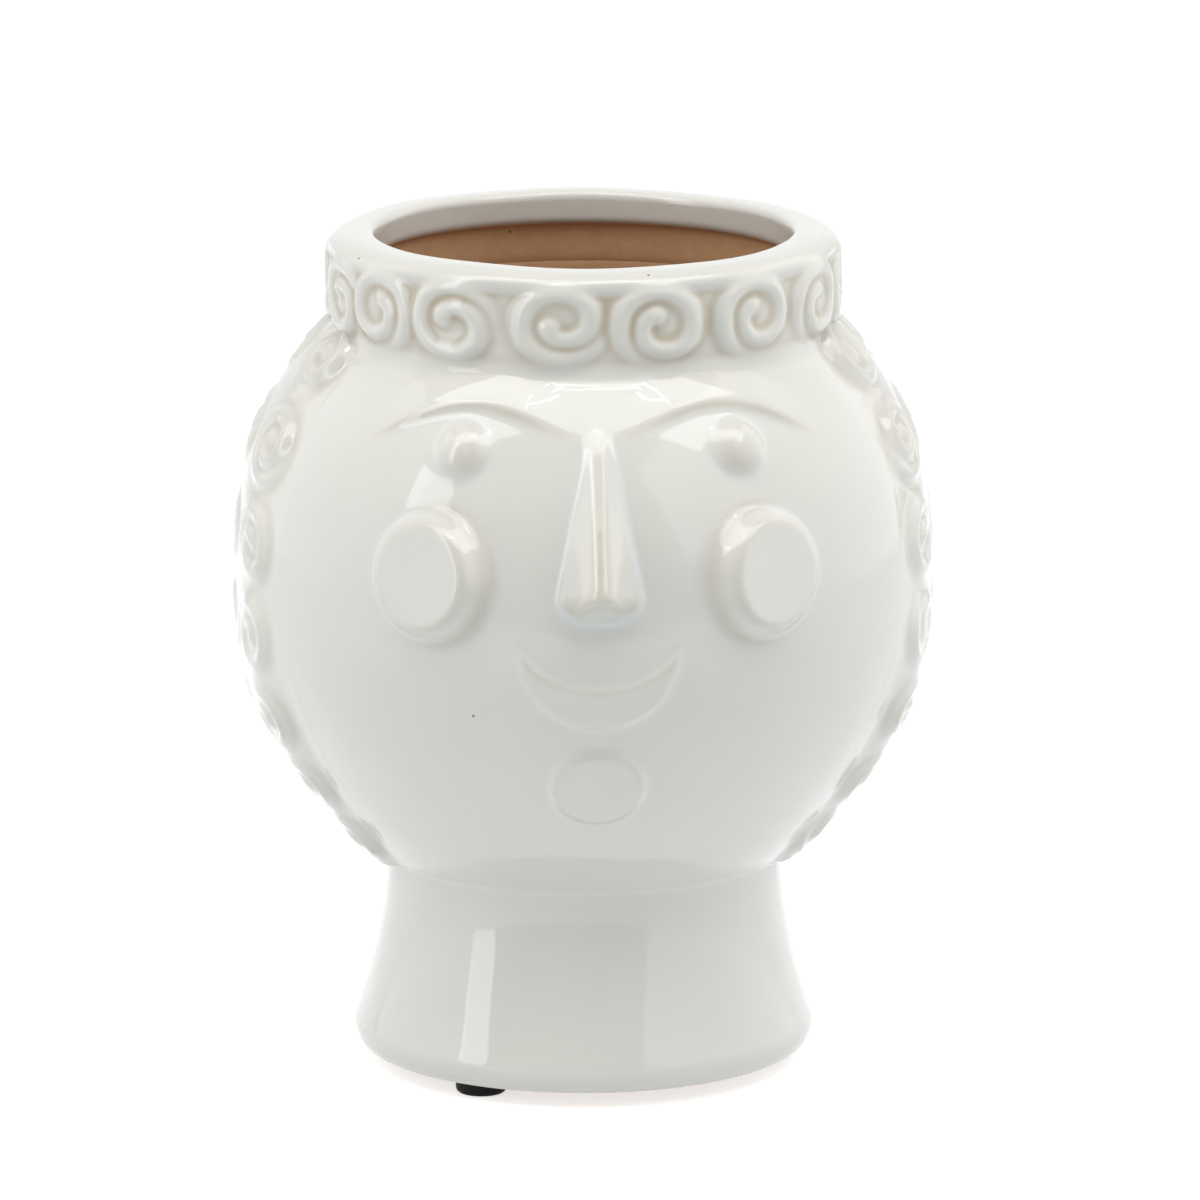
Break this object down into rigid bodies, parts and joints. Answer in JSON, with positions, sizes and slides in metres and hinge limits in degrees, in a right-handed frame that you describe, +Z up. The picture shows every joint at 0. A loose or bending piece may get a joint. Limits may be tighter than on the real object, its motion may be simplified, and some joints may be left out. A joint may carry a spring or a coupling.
{
  "type": "face planter",
  "caption": "Glazed ceramic plant pot shaped as a curly-haired head with a raised face, open at the crown, on a flared round foot with stick-on rubber pads.",
  "frame": {"origin": "on the table, under the middle of the whole object's box; the pot's own axis stands 4.1 mm behind it, because the nose reaches out past the hair", "axes": "+Z up; -Y is the way the face looks; +X is to the right of someone facing it"},
  "size_m": [0.1378, 0.1451, 0.165],
  "materials": {
    "glazed_stoneware": "glossy off-white crackle glaze",
    "black_rubber": "matt"
  },
  "bodies": {
    "root": {"pot": "glazed_stoneware", "pad_left_front": "black_rubber", "pad_right": "black_rubber", "pad_left_back": "black_rubber"}
  },
  "joints": []
}
